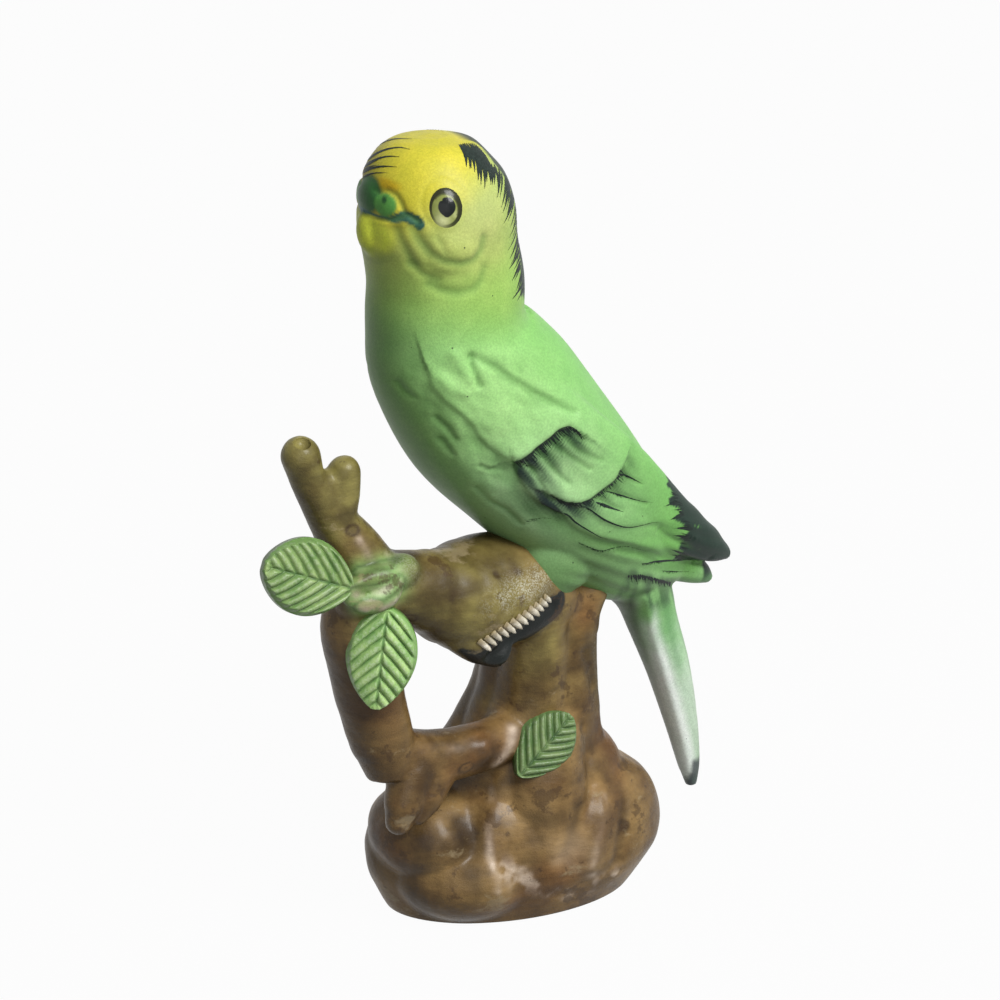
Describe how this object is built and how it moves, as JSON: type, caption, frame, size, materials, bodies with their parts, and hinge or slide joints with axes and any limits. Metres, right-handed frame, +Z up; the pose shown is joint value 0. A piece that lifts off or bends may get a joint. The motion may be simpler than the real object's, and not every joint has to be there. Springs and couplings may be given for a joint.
{
  "type": "parakeet figurine",
  "caption": "Painted bisque figurine of a small green and yellow parakeet perched on a forked, leafy stump with a rounded base.",
  "frame": {"origin": "middle of the flat foot the figurine stands on", "axes": "+Z up, -X the way the parakeet faces, Y across the bird, whose middle plane is Y = 0"},
  "size_m": [0.102, 0.0385, 0.149],
  "materials": {
    "green_bisque": "satin",
    "yellow_bisque": "satin",
    "bark_brown": "satin",
    "leaf_green": "satin",
    "black_paint": "satin"
  },
  "bodies": {
    "root": {"parakeet_figurine": "green_bisque"}
  },
  "joints": []
}
